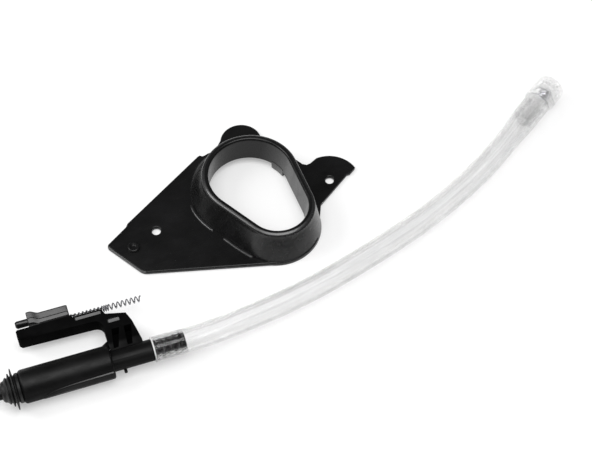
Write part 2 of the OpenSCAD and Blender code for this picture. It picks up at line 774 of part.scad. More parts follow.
// Tab that hangs from the skirt on its far side
module skirt_tab() {
    tab_turn = 25;
    tab_w = 8.4;
    tab_low = 0.5;
    tab_t = collar_wall - 0.8;
    centre = egg_place + skirt_shift;
    translate([centre[0], centre[1], tab_low]) rotate([0, 0, tab_turn])
        translate([egg_r - skirt_draft + 0.2, -tab_w / 2, 0])
        cube([tab_t, tab_w, rim_h - skirt_depth - tab_low + 1]);
}

// Plate with the left wing, the lobe behind the collar and the ear round the right hole
module plate_outline() {
    polygon(concat(
        arc([-24.2, -1.2], 2.6, 140, 210, 4),
        arc([-10.2, -17.4], 6, 210, 255, 4),
        [base_far + base_r * [cos(base_tangent), sin(base_tangent)], [60, -30], [60, 36], [38, 38.6],
            [36.6, 39.6], [35.4, 39.2]],
        [[-13, 9.8], [-14.4, 7.9]]
    ));
    translate(lobe_place) circle(lobe_r);
    polygon([[50.6, 45.6], [40, 20], [70, 20], [72.4, 40]]);
    polygon(concat(
        [[60, -20]],
        [for (p = [[-9.9, -13.4], [10.1, 0.4], [11.8, 0.4], [15.4, 2.7]]) right_hole + p],
        arc(right_hole, ear_r, 12, 96, 10),
        [for (p = [[-6, 14.2], [-8.1, 13.9], [-10, 15.2], [-12.7, 19.8]]) right_hole + p],
        [[70, 26]]
    ));
}

// Screw hole with a shallow dish round it
module screw_hole() {
    translate([0, 0, -1]) cylinder(h = plate_t + 2, d = screw_hole_d);
    translate([0, 0, plate_t - dish_depth]) cylinder(h = 1, d1 = screw_hole_d + 0.6, d2 = dish_d);
}

module bracket() {
    color(black) on_bracket() difference() {
        union() {
            linear_extrude(plate_t) difference() {
                plate_outline();
                polygon(egg_points(rim_w + collar_flare - collar_wall * 0.65, flare_shift));
            }
            collar();
            skirt_tab();
        }
        screw_hole();
        translate(right_hole) screw_hole();
        translate([peg_place[0], peg_place[1], -1]) cylinder(h = plate_t + 2, d = peg_shank_d);
    }
}

// Peg with a domed ring head and a dimple, its shank in the plate
module bracket_peg() {
    r = peg_d / 2;
    color(black) on_bracket() translate([peg_place[0], peg_place[1], 0]) rotate_extrude() polygon([
        [0, 0], [peg_shank_d / 2, 0], [peg_shank_d / 2, plate_t], [r, plate_t], [r, plate_t + peg_h - 0.6],
        [r - 0.6, plate_t + peg_h], [r - 1.3, plate_t + peg_h], [r - 1.7, plate_t + peg_h - 0.7],
        [0, plate_t + peg_h - 0.7]
    ]);
}

pump_body();
hose_tail();
tail_ring();
tail_pin();
inlet_ball();
inlet_spring();
valve_cage();
return_spring();
nozzle_tip();
outlet_seat();
outlet_ball();
outlet_spring();
bulb();
latch_slider();
latch_spring();
hose();
foot_valve_body();
foot_valve_ball();
foot_valve_cap();
bracket();
bracket_peg();
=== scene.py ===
import bpy, bmesh, json
from math import acos, asin, copysign, cos, exp, pi, radians, sin, sqrt, tan
from mathutils import Matrix, Vector


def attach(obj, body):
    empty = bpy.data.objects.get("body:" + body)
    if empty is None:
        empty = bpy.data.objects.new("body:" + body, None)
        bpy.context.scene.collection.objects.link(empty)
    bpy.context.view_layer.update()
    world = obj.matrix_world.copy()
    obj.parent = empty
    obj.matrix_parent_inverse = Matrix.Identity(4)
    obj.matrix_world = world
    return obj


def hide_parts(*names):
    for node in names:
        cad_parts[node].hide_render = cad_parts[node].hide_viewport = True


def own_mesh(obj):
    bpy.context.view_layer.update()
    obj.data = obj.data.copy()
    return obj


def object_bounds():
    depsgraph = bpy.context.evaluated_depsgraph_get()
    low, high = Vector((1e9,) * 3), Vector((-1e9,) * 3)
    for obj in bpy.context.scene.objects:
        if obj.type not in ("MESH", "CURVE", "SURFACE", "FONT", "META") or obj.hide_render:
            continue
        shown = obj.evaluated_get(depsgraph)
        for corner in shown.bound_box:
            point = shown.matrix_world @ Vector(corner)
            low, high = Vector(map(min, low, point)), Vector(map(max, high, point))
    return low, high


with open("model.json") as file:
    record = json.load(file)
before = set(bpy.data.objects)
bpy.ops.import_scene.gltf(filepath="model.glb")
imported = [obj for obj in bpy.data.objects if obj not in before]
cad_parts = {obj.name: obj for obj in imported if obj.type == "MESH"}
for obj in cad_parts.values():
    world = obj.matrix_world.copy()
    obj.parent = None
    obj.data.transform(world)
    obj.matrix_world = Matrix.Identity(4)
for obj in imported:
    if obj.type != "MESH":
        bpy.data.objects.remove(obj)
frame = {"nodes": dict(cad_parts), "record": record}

cad_box = [list(v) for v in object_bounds()]
scene = bpy.context.scene
MM = 0.001
PUMP = Vector((-21.3, -73.0, 10.4))  # rear face of the pump collar, on its axis, in mm


# ---------------------------------------------------------------- camera
def vec(*p):
    return Vector(p) * MM


cam_data = bpy.data.cameras.new("camera")
cam = bpy.data.objects.new("camera", cam_data)
scene.collection.objects.link(cam)
cam.location = vec(-69.2, -441.6, 665.6)
aim = vec(70.93, -20.37, 0) - cam.location
cam.rotation_euler = aim.to_track_quat("-Z", "Y").to_euler()
PHOTO_W, FOCAL_PX, SENSOR = 592, 1509.6, 36  # width and focal length in pixels; sensor width in mm
cam_data.sensor_fit = "HORIZONTAL"
cam_data.sensor_width = SENSOR
cam_data.lens = FOCAL_PX / PHOTO_W * SENSOR
cam_data.clip_start = 0.01
scene.camera = cam
scene.view_settings.view_transform = "Standard"


# ---------------------------------------------------------------- materials
def new_material(name):
    mat = bpy.data.materials.new(name)
    mat.use_nodes = True
    nodes = mat.node_tree.nodes
    bsdf = next(n for n in nodes if n.type == "BSDF_PRINCIPLED")
    return mat, mat.node_tree, bsdf


def noise(tree, scale, detail=3.0, rough=0.55, stretch=(1, 1, 1), offset=(0, 0, 0)):
    co = tree.nodes.new("ShaderNodeTexCoord")
    mp = tree.nodes.new("ShaderNodeMapping")
    mp.inputs["Scale"].default_value = stretch
    mp.inputs["Location"].default_value = offset
    nz = tree.nodes.new("ShaderNodeTexNoise")
    nz.inputs["Scale"].default_value = scale
    nz.inputs["Detail"].default_value = detail
    nz.inputs["Roughness"].default_value = rough
    tree.links.new(co.outputs["Object"], mp.inputs["Vector"])
    tree.links.new(mp.outputs["Vector"], nz.inputs["Vector"])
    return nz.outputs["Fac"]


def ramp(tree, fac, stops):
    r = tree.nodes.new("ShaderNodeValToRGB")
    el = r.color_ramp.elements
    while len(el) < len(stops):
        el.new(0.5)
    for e, (pos, c) in zip(el, stops):
        e.position = pos
        e.color = (*c, 1) if len(c) == 3 else c
    tree.links.new(fac, r.inputs["Fac"])
    return r.outputs["Color"]


def remap(tree, fac, lo, hi, a=0.3, b=0.7):
    m = tree.nodes.new("ShaderNodeMapRange")
    m.inputs["From Min"].default_value = a
    m.inputs["From Max"].default_value = b
    m.inputs["To Min"].default_value = lo
    m.inputs["To Max"].default_value = hi
    tree.links.new(fac, m.inputs["Value"])
    return m.outputs["Result"]


def bump(tree, bsdf, heights, distance):
    """heights: list of (output, strength); chained bumps"""
    last = None
    for out, strength in heights:
        b = tree.nodes.new("ShaderNodeBump")
        b.inputs["Strength"].default_value = strength
        b.inputs["Distance"].default_value = distance
        tree.links.new(out, b.inputs["Height"])
        if last:
            tree.links.new(last, b.inputs["Normal"])
        last = b.outputs["Normal"]
    tree.links.new(last, bsdf.inputs["Normal"])


def grey(v, tint=(1, 1, 1)):
    return tuple(v * t for t in tint)


def plastic(name, dark, light, rough, spec, grain=2600.0, grain_strength=0.12, seed=0.0, side=None, flank=None,
            dull_from=None, spots=None):
    """Moulded plastic. side: sheen of the drafted sides, set below that of the tops as painted shade;
    flank: sheen of the faces along X, raised there as a painted highlight;
    dull_from: row Y (m) beyond which the sheen drops, as painted shade;
    spots: grey of light spots painted on as glints."""
    mat, tree, bsdf = new_material(name)
    o = (seed, seed * 0.7, seed * 1.3)
    cloud = noise(tree, 45, 4, 0.6, offset=o)
    base = ramp(tree, cloud, [(0.3, grey(dark)), (0.72, grey(light, (1, 1, 1.04)))])
    # light spots painted into the base colour as glints
    if spots:
        painted_glint = ramp(tree, noise(tree, 760, 3, 0.5, offset=o),
                     [(0.5, grey(dark)), (0.62, grey(spots)), (0.8, grey(spots * 1.5))])
        mix = tree.nodes.new("ShaderNodeMix")
        mix.data_type, mix.blend_type = "RGBA", "LIGHTEN"
        mix.inputs["Factor"].default_value = 1
        tree.links.new(base, mix.inputs["A"])
        tree.links.new(painted_glint, mix.inputs["B"])
        base = mix.outputs["Result"]
    tree.links.new(base, bsdf.inputs["Base Color"])
    smear = noise(tree, 120, 5, 0.65, stretch=(1, 2.2, 1), offset=o)
    tree.links.new(remap(tree, smear, rough[0], rough[1]), bsdf.inputs["Roughness"])
    bsdf.inputs["Specular IOR Level"].default_value = spec
    # the sheen follows which way a face points: steep faces get less, as painted shade
    if side is not None:
        co = tree.nodes.new("ShaderNodeTexCoord")
        sep = tree.nodes.new("ShaderNodeSeparateXYZ")
        tree.links.new(co.outputs["Normal"], sep.inputs[0])
        sheen = remap(tree, sep.outputs["Z"], side, spec, 0.25, 0.85)
        # beyond dull_from in row Y the sheen nearly vanishes, painting that part in shade
        if dull_from is not None:
            at = tree.nodes.new("ShaderNodeSeparateXYZ")
            tree.links.new(co.outputs["Object"], at.inputs[0])
            times = tree.nodes.new("ShaderNodeMath")
            times.operation = "MULTIPLY"
            tree.links.new(sheen, times.inputs[0])
            keep = remap(tree, at.outputs["Y"], 1, 0.05, dull_from - 0.001, dull_from + 0.001)
            tree.links.new(keep, times.inputs[1])
            sheen = times.outputs[0]
        tree.links.new(sheen, bsdf.inputs["Specular IOR Level"])
    # faces pointing along X get more sheen, a painted highlight
    if flank is not None:
        co = tree.nodes.new("ShaderNodeTexCoord")
        sep = tree.nodes.new("ShaderNodeSeparateXYZ")
        size = tree.nodes.new("ShaderNodeMath")
        size.operation = "ABSOLUTE"
        tree.links.new(co.outputs["Normal"], sep.inputs[0])
        tree.links.new(sep.outputs["X"], size.inputs[0])
        tree.links.new(remap(tree, size.outputs[0], spec, flank, 0.55, 0.95), bsdf.inputs["Specular IOR Level"])
    fine = noise(tree, grain, 2, 0.5, offset=o)
    wave = noise(tree, 160, 2, 0.5, offset=o)
    bump(tree, bsdf, [(fine, grain_strength), (wave, 0.05)], 0.00004)
    return mat


def rubber(name, dark, light, rough, seed=0.0):
    mat, tree, bsdf = new_material(name)
    o = (seed, seed, 0)
    cloud = noise(tree, 160, 4, 0.6, offset=o)
    tree.links.new(ramp(tree, cloud, [(0.3, grey(dark)), (0.75, grey(light))]), bsdf.inputs["Base Color"])
    roughness = remap(tree, noise(tree, 300, 4, 0.6, offset=o), rough[0], rough[1])
    tree.links.new(roughness, bsdf.inputs["Roughness"])
    bsdf.inputs["Specular IOR Level"].default_value = 0.35
    bump(tree, bsdf, [(noise(tree, 1800, 3, 0.6), 0.25)], 0.00005)
    return mat


def metal(name, dark, light, rough, stretch=(1, 1, 1)):
    mat, tree, bsdf = new_material(name)
    tint = ramp(tree, noise(tree, 400, 4, 0.6, stretch), [(0.3, dark), (0.7, light)])
    tree.links.new(tint, bsdf.inputs["Base Color"])
    tree.links.new(remap(tree, noise(tree, 900, 3, 0.6, stretch), rough[0], rough[1]), bsdf.inputs["Roughness"])
    bsdf.inputs["Metallic"].default_value = 1
    bump(tree, bsdf, [(noise(tree, 2500, 2, 0.5, stretch), 0.1)], 0.00002)
    return mat


def clear(name, tint_a, tint_b, rough, ior, bumps=0.08, seed=0.0, alpha=1.0, drawn=None):
    """Clear plastic; drawn names the attribute along which its tint runs in streaks."""
    mat, tree, bsdf = new_material(name)
    o = (seed, 0, seed)
    if drawn:
        at = tree.nodes.new("ShaderNodeAttribute")
        at.attribute_name = drawn
        nz = tree.nodes.new("ShaderNodeTexNoise")
        nz.inputs["Scale"].default_value = 2.6
        nz.inputs["Detail"].default_value = 4
        nz.inputs["Roughness"].default_value = 0.6
        tree.links.new(at.outputs["Vector"], nz.inputs["Vector"])
        streak = ramp(tree, nz.outputs["Fac"],
                      [(0.36, tint_a), (0.47, tint_b), (0.53, grey(0.99)), (0.62, tint_a)])
        tree.links.new(streak, bsdf.inputs["Base Color"])
    else:
        tint = ramp(tree, noise(tree, 30, 3, 0.5, offset=o), [(0.3, tint_a), (0.7, tint_b)])
        tree.links.new(tint, bsdf.inputs["Base Color"])
    tree.links.new(remap(tree, noise(tree, 90, 4, 0.6, offset=o), rough[0], rough[1]), bsdf.inputs["Roughness"])
    bsdf.inputs["Transmission Weight"].default_value = 1
    bsdf.inputs["IOR"].default_value = ior
    bsdf.inputs["Alpha"].default_value = alpha
    bump(tree, bsdf, [(noise(tree, 260, 2, 0.5, offset=o), bumps)], 0.00006)
    return mat


M = {
    # side and dull_from cut body_black's sheen on its steep faces and on its arm, as painted shade
    "body_black": plastic("body_black_satin", 0.0015, 0.0055, (0.38, 0.56), 0.25, seed=1.0, side=0.06,
                          dull_from=-0.0655),
    # the tail's light spots are painted glints
    "tail_black": plastic("tail_black_gloss", 0.002, 0.006, (0.08, 0.2), 0.5, seed=2.0, spots=0.055),
    # a lighter, glossier copy of the black, laid on edges as a painted highlight
    "painted_sheen_black": plastic("painted_sheen_edge_black", 0.008, 0.02, (0.22, 0.36), 0.95, seed=6.0),
    # a lighter, glossier copy of the black for the rib's top, a painted highlight
    "rib_sheen_black": plastic("rib_painted_sheen_black", 0.006, 0.015, (0.26, 0.4), 0.6, seed=7.0),
    "hose_cut": rubber("hose_cut_frosted", 0.66, 0.86, (0.3, 0.5), 3.0),
    # side cuts the sheen on the steep faces of these two, as painted shade
    "nozzle_black": plastic("nozzle_black_satin", 0.002, 0.006, (0.32, 0.46), 0.35, seed=3.0, side=0.08),
    "slider_black": plastic("slider_black_polished", 0.004, 0.012, (0.2, 0.34), 0.62, seed=4.0, side=0.06),
    # flank raises the sheen on the faces along X, a painted highlight
    "bracket_black": plastic("bracket_black_satin", 0.0045, 0.0095, (0.2, 0.34), 0.3, seed=5.0, flank=0.62),
    "bulb_rubber": rubber("bulb_rubber_dull", 0.008, 0.015, (0.42, 0.6), 1.0),
    "seal_rubber": rubber("seal_rubber_dull", 0.01, 0.02, (0.45, 0.65), 2.0),
    "valve_steel": metal("valve_steel_polished", (0.55, 0.55, 0.57), (0.7, 0.7, 0.72), (0.08, 0.2)),
    "spring_steel": metal("spring_steel_drawn", (0.22, 0.22, 0.23), (0.42, 0.42, 0.44), (0.2, 0.38)),
    "hose_clear": clear("hose_clear_vinyl", grey(0.74), grey(0.9), (0.03, 0.11), 1.36, alpha=0.45,
                        drawn="along"),
    "fitting_clear": clear("fitting_clear_moulded", grey(0.97), grey(0.99), (0.08, 0.2), 1.36, seed=3.0,
                           alpha=0.28),
}
slots = {s["node"]: s["material_slot"] for s in frame["record"]["subparts"]}
for node, ob in frame["nodes"].items():
    ob.data.materials.clear()
    ob.data.materials.append(M[slots[node]])


# ---------------------------------------------------------------- mesh helpers
def piece(name, verts, faces, mat, body, nodes=(), sharp=35.0):
    """A mesh piece, its points in millimetres in the row frame."""
    me = bpy.data.meshes.new(name)
    me.from_pydata([tuple(Vector(v) * MM) for v in verts], [], faces)
    me.validate()
    bm = bmesh.new()
    bm.from_mesh(me)
    bmesh.ops.recalc_face_normals(bm, faces=bm.faces)
    bm.to_mesh(me)
    bm.free()
    return finish_piece(name, me, mat, body, nodes, sharp)


def finish_piece(name, me, mat, body, nodes=(), sharp=35.0):
    me.materials.clear()
    me.materials.append(M[mat])
    for p in me.polygons:
        p.use_smooth = True
    if sharp:
        me.set_sharp_from_angle(angle=radians(sharp))
    ob = bpy.data.objects.new(name, me)
    scene.collection.objects.link(ob)
    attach(ob, body)
    if nodes:
        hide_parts(*nodes)
    return ob


def grid_faces(rows, cols, close_rows=False, close_cols=True):
    faces = []
    for i in range(rows if close_rows else rows - 1):
        for j in range(cols if close_cols else cols - 1):
            a, b = i * cols, ((i + 1) % rows) * cols
            k = (j + 1) % cols
            faces.append((a + j, a + k, b + k, b + j))
    return faces


def capped_faces(rows, cols):
    """Faces of a closed section carried over rows, with both ends shut."""
    last = (rows - 1) * cols
    return grid_faces(rows, cols) + [tuple(range(cols)), tuple(last + k for k in reversed(range(cols)))]


def rounded(points, radii, steps=4, closed=False):
    """A polyline with its corners rounded; radii is one number or one for each point."""
    n = len(points)
    out = []
    for i, p in enumerate(points):
        r = radii[i] if isinstance(radii, (list, tuple)) else radii
        p = Vector(p)
        if r <= 0 or (not closed and i in (0, n - 1)):
            out.append(p)
            continue
        a, b = Vector(points[i - 1]) - p, Vector(points[(i + 1) % n]) - p
        la, lb = a.length, b.length
        a.normalize()
        b.normalize()
        half = a.angle(b) / 2
        if half > pi / 2 - 0.02:
            out.append(p)
            continue
        t = min(r / tan(half), la * 0.48, lb * 0.48)
        p0, p1 = p + a * t, p + b * t
        for k in range(steps + 1):
            u = k / steps
            out.append(p0 * (1 - u) ** 2 + p * 2 * u * (1 - u) + p1 * u * u)
    return out


def lathe(name, profile, mat, body, nodes=(), segs=96, origin=PUMP, sharp=35.0, turn=None):
    """Turns [radius, station] about the X axis."""
    rows = [Vector(p) for p in profile]
    verts = []
    for r, x in rows:
        for j in range(segs):
            a = 2 * pi * j / segs
            v = Vector((x, r * cos(a), r * sin(a)))
            if turn:
                v = turn @ v
            verts.append(v + origin)
    faces = grid_faces(len(rows), segs)
    first, last = range(segs), [(len(rows) - 1) * segs + i for i in range(segs)]
    if rows[0][0] > 1e-6:
        faces.append(tuple(reversed(first)))
    if rows[-1][0] > 1e-6:
        faces.append(tuple(last))
    me = bpy.data.meshes.new(name)
    me.from_pydata([tuple(v * MM) for v in verts], [], faces)
    bm = bmesh.new()
    bm.from_mesh(me)
    bmesh.ops.remove_doubles(bm, verts=bm.verts, dist=1e-7)
    bmesh.ops.recalc_face_normals(bm, faces=bm.faces)
    bm.to_mesh(me)
    bm.free()
    return finish_piece(name, me, mat, body, nodes, sharp)


def plan(name, outline, z0, z1, bevel, mat, body, nodes=(), holes=(), origin=PUMP, steps=3, turn=0.0):
    """A flat outline in the XY plane with holes, extruded from z0 to z1 with rounded edges."""
    cu = bpy.data.curves.new(name, "CURVE")
    cu.dimensions = "2D"
    cu.fill_mode = "BOTH"
    for loop in [outline, *holes]:
        sp = cu.splines.new("POLY")
        sp.points.add(len(loop) - 1)
        for q, p in zip(sp.points, loop):
            q.co = (p[0] * MM, p[1] * MM, 0, 1)
        sp.use_cyclic_u = True
    cu.extrude = ((z1 - z0) / 2 - bevel) * MM
    cu.bevel_depth = bevel * MM
    cu.bevel_resolution = steps
    cu.offset = -bevel * MM
    tmp = bpy.data.objects.new(name + "_curve", cu)
    scene.collection.objects.link(tmp)
    bpy.context.view_layer.update()
    dg = bpy.context.evaluated_depsgraph_get()
    me = bpy.data.meshes.new_from_object(tmp.evaluated_get(dg))
    bpy.data.objects.remove(tmp)
    me.transform(Matrix.Translation(Vector((0, 0, (z0 + z1) / 2 * MM))))
    me.transform(Matrix.Rotation(turn, 4, "Z"))
    me.transform(Matrix.Translation(Vector(origin) * MM))
    bm = bmesh.new()
    bm.from_mesh(me)
    bmesh.ops.remove_doubles(bm, verts=bm.verts, dist=1e-6)
    bmesh.ops.recalc_face_normals(bm, faces=bm.faces)
    bm.to_mesh(me)
    bm.free()
    me.name = name
    return finish_piece(name, me, mat, body, nodes, 38.0)


def softened(node, name, width, segs=2, angle=32.0, clean=0.8, shape=None):
    """A copy of a CAD node with its moulded edges rounded."""
    me = frame["nodes"][node].data.copy()
    me.name = name
    if shape:
        for v in me.vertices:
            v.co = (shape(v.co / MM - PUMP) + PUMP) * MM
    bm = bmesh.new()
    bm.from_mesh(me)
    bmesh.ops.remove_doubles(bm, verts=bm.verts, dist=2e-6)
    bmesh.ops.dissolve_limit(bm, angle_limit=radians(clean), verts=bm.verts, edges=bm.edges)
    bm.to_mesh(me)
    bm.free()
    body = next(b for b, ns in frame["record"]["behaviour"]["bodies"].items() if node in ns)
    ob = finish_piece(name, me, slots[node], body, [node], sharp=0)
    mod = ob.modifiers.new("edges", "BEVEL")
    mod.width = width * MM
    mod.segments = segs
    mod.limit_method = "ANGLE"
    mod.angle_limit = radians(angle)
    mod.harden_normals = True
    return ob


# ---------------------------------------------------------------- hose: a tube along a route
ROUTE = [
    (-21.3, -73, 10.4), (-13, -73, 10.4), (-4, -73, 10.2), (6, -72.4, 9.7), (18, -71, 9), (34, -68.4, 7.8),
    (52, -65, 6.8), (72, -60.4, 6.3), (92, -54.8, 6.3), (112, -48.5, 6.3), (132, -41.4, 6.3), (152, -32.8, 6.3),
    (170, -23.5, 6.3), (186, -13.8, 6.4), (200, -4.2, 6.8), (208, 1.4, 7.4), (215, 6.4, 7.8), (223, 12, 8),
]
STRETCH = [0] * 14 + [0.1, 0.8, 1, 1]
HOSE_D, HOSE_BORE, FLARE = 12.6, 9.5, 1.8


def spline(points, values, steps):
    pts, vals = [], []
    n = len(points)
    for i in range(n - 1):
        p = [Vector(points[max(0, min(n - 1, i + k))]) for k in (-1, 0, 1, 2)]
        v = [values[max(0, min(n - 1, i + k))] for k in (-1, 0, 1, 2)]
        for s in range(steps):
            t = s / steps
            w = (-0.5 * t + t * t - 0.5 * t ** 3, 1 - 2.5 * t * t + 1.5 * t ** 3,
                 0.5 * t + 2 * t * t - 1.5 * t ** 3, -0.5 * t * t + 0.5 * t ** 3)
            pts.append(sum((a * b for a, b in zip(w, p)), Vector((0, 0, 0))))
            vals.append(sum(a * b for a, b in zip(w, v)))
    pts.append(Vector(points[-1]))
    vals.append(values[-1])
    return pts, vals


path, stretch = spline(ROUTE, STRETCH, 6)
stretch = [min(1, max(0, s)) for s in stretch]


def tube_rings(path, radii, segs):
    rings = []
    for i, p in enumerate(path):
        t = (path[min(i + 1, len(path) - 1)] - path[max(i - 1, 0)]).normalized()
        if i == 0:
            t = Vector((1, 0, 0))
        side = Vector((0, 0, 1)).cross(t).normalized()
        up = t.cross(side)
        turns = [2 * pi * k / segs for k in range(segs)]
        rings.append([p + radii[i] * (cos(a) * side + sin(a) * up) for a in turns])
    return rings


SEGS = 48
outer_r = [HOSE_D / 2 + s * FLARE / 2 for s in stretch]
inner_r = [HOSE_BORE / 2 + s * FLARE / 2 for s in stretch]
# the barbs swell the hose a little
for i, p in enumerate(path):
    x = p.x - PUMP.x
    if 0 < x < 16.6:
        swell = 0.10 * max(0, sin(pi * ((x / 3.32) % 1)))
        outer_r[i] += swell
rings = tube_rings(path, outer_r, SEGS) + list(reversed(tube_rings(path, inner_r, SEGS)))
verts = [v for r in rings for v in r]
hose = piece("hose_tube", verts, grid_faces(len(rings), SEGS, close_rows=True), "hose_clear", "pump", ["hose"],
             sharp=50)
along = hose.data.attributes.new("along", "FLOAT_VECTOR", "POINT")
order = list(range(len(path))) + list(reversed(range(len(path))))
for i, v in enumerate(along.data):
    a = 2 * pi * (i % SEGS) / SEGS
    v.vector = (cos(a), sin(a), order[i // SEGS] / len(path) * 1.5)

# thick cut end of the hose, pressed on to the collar's face
lathe("hose_end_ring", rounded([(4.9, 0.02), (6.25, 0.02), (6.42, 0.2), (6.42, 0.5), (6.32, 0.7), (4.9, 0.7)],
                               [0, 0.25, 0.2, 0.2, 0.1, 0], 4), "hose_cut", "pump", segs=96, sharp=60)

# ---------------------------------------------------------------- foot valve
foot_body = softened("foot_valve_body", "foot_fitting", 0.25)
foot_cap = softened("foot_valve_cap", "foot_cap", 0.25)

# ---------------------------------------------------------------- bracket
BT = radians(1.4)
EGG, FAR_TURN, PITCH, R1, R2 = Vector((55.1, 6.7)), radians(-73.6), 24.8, 22.1, 16.0
FAR = EGG + PITCH * Vector((cos(FAR_TURN), sin(FAR_TURN)))
LEAN = acos((R1 - R2) / PITCH)
FS = Vector((-1.6, -0.2))


def turn_z(v, a=BT):
    return Vector((v[0] * cos(a) - v[1] * sin(a), v[0] * sin(a) + v[1] * cos(a), v[2]))


def arc(c, r, a, b, n):
    angles = [a + (b - a) * i / n for i in range(n + 1)]
    return [Vector((c[0] + r * cos(t), c[1] + r * sin(t))) for t in angles]


def egg(g, shift=0.0, small=56, large=84):
    s = FS * shift
    return (arc(FAR + s, R2 + g, FAR_TURN - LEAN, FAR_TURN + LEAN, small)
            + arc(EGG + s, R1 + g, FAR_TURN + LEAN, FAR_TURN + 2 * pi - LEAN, large))


def straight_fill(ring, n=14):
    """Adds points on the two straight stretches of the egg."""
    small = 57
    a, b = ring[:small], ring[small:]
    one = [a[-1].lerp(b[0], (i + 1) / (n + 1)) for i in range(n)]
    two = [b[-1].lerp(a[0], (i + 1) / (n + 1)) for i in range(n)]
    return a + one + b + two


WALL = []
rim_w, rim_h, flare, draft, depth = 3.8, 20.0, 4.7, 0.6, 14.5
for i in range(13):
    u = i / 12
    z = (rim_h - 2.2) * u
    WALL.append((rim_w + flare * (1 - u), z, 1 - u))
WALL += [(rim_w, 18.2, 0), (rim_w - 0.08, 18.75, 0), (rim_w - 0.3, 19.2, 0), (rim_w - 0.7, 19.52, 0),
         (rim_w - 1.3, 19.78, 0), (rim_w - 1.8, 19.95, 0), (rim_w - 2.1, 20, 0), (1.3, 20, 0), (0.75, 19.86, 0),
         (0.3, 19.5, 0), (0.06, 19.0, 0), (0, 18.4, 0)]
for i in range(1, 9):
    u = i / 8
    WALL.append((-draft * u, 18.4 - (18.4 - rim_h + depth + 0.4) * u, 0.8 * u))
WALL += [(-draft + 0.15, rim_h - depth + 0.1, 0.8), (-draft + 0.4, rim_h - depth, 0.8),
         (1.4 - 0.3, rim_h - depth, 0.8), (1.4, rim_h - depth + 0.3, 0.8), (1.9, 17, 0),
         (rim_w + flare - 2, 0.0, 1), (rim_w + flare - 0.25, 0, 1)]
rings = [[turn_z(Vector((q.x, q.y, z))) for q in straight_fill(egg(g, s))] for g, z, s in WALL]
n = len(rings[0])
collar = piece("bracket_collar", [v for r in rings for v in r], grid_faces(len(rings), n, close_rows=True),
               "bracket_black", "bracket_set", sharp=50)
# a band on the rim's top, near side, takes that lighter, glossier copy as a painted highlight
collar.data.materials.append(M["painted_sheen_black"])
for p in collar.data.polygons:
    if 19.15 * MM < p.center.z < 19.97 * MM and p.normal.z > 0.4 and p.index // n < 19:
        p.material_index = 1

# fillet where the wall runs out into the plate, widest beside the lobe
REACH = [(98, 0), (104, 3.2), (110, 4.8), (118, 5.2), (127, 5.0), (134, 4.6), (140, 3.8), (148, 2.6),
         (157, 1.8), (168, 1.3), (178, 0.9), (190, 0.4), (202, 0)]


def reach(deg):
    for (a, ea), (b, eb) in zip(REACH, REACH[1:]):
        if a <= deg <= b:
            return ea + (eb - ea) * (deg - a) / (b - a)
    return 0


fillet, cols = [], 53
for t in [i / 12 for i in range(13)] + [2, 3]:
    z = 2.4 + 10.5 * (1 - t) ** 1.7 if t <= 1 else (2.2 if t == 2 else 12.6)
    u = min(1, z / (rim_h - 2.2))
    c = EGG + FS * (1 - u)
    ring = []
    for i in range(cols):
        deg = 98 + 104 * i / (cols - 1)
        e = reach(deg) * 0.5 + reach(deg - 2) * 0.25 + reach(deg + 2) * 0.25
        r = R1 + rim_w + flare * (1 - u) + (-0.12 + (e + 0.12) * t ** 2 if t <= 1 else -1.2)
        ring.append(turn_z(Vector((c.x + r * cos(radians(deg)), c.y + r * sin(radians(deg)), z))))
    fillet.append(ring)
fillet_faces = grid_faces(len(fillet), cols, close_rows=True, close_cols=False)
fillet_faces += [tuple(cols * k for k in range(len(fillet))),
                 tuple(cols * k + cols - 1 for k in reversed(range(len(fillet))))]
piece("collar_fillet", [v for r in fillet for v in r], fillet_faces, "bracket_black", "bracket_set", sharp=50)

# tab that hangs from the skirt, flush with its inner face
tab_at, tab_half = radians(25), asin(4.2 / (R1 - draft))
tab_c = EGG + FS * 0.8
tab_rings, TAB_COLS = [], 13
for g, z, wide in [(0.02, 6.6, 1), (0.02, 1.1, 1), (0.12, 0.75, 0.975), (0.4, 0.6, 0.96), (1.0, 0.6, 0.96),
                   (1.3, 0.8, 0.975), (1.4, 1.2, 1), (1.4, 6.6, 1)]:
    ring = []
    for i in range(TAB_COLS):
        a = tab_at + tab_half * wide * (2 * i / 12 - 1)
        r = R1 - draft + g
        low = max(0, abs(2 * i / 12 - 1) - 0.82) * 2.2 if z < 2 else 0
        ring.append(turn_z(Vector((tab_c.x + r * cos(a), tab_c.y + r * sin(a), z + low))))
    tab_rings.append(ring)
tab_faces = grid_faces(len(tab_rings), TAB_COLS, close_rows=True, close_cols=False)
tab_faces += [tuple(TAB_COLS * k for k in range(8)), tuple(TAB_COLS * k + TAB_COLS - 1 for k in range(8))]
piece("bracket_tab", [v for r in tab_rings for v in r], tab_faces, "bracket_black", "bracket_set", sharp=40)


def ridge(name, points, width, height, z0, mat, body, ends=0.5):
    """A low half-round ridge on a flat top, along points in the bracket's frame."""
    pts, _ = spline([Vector((x, y, 0)) for x, y in points], [0] * len(points), 6)
    rings = []
    for i, p in enumerate(pts):
        t = (pts[min(i + 1, len(pts) - 1)] - pts[max(i - 1, 0)]).normalized()
        side = Vector((-t.y, t.x, 0))
        k = min(1, (min(i, len(pts) - 1 - i) + 0.3) / 3) ** ends
        ring = []
        for a in [radians(d) for d in range(200, -21, -20)]:
            z = z0 + height * k * max(0, sin(a)) ** 0.8 - (0.3 if sin(a) < 0 else 0)
            ring.append(p + side * width / 2 * k * cos(a) + Vector((0, 0, z)))
        rings.append([turn_z(v) for v in ring])
    faces = capped_faces(len(rings), len(rings[0]))
    return piece(name, [v for r in rings for v in r], faces, mat, body, sharp=60)


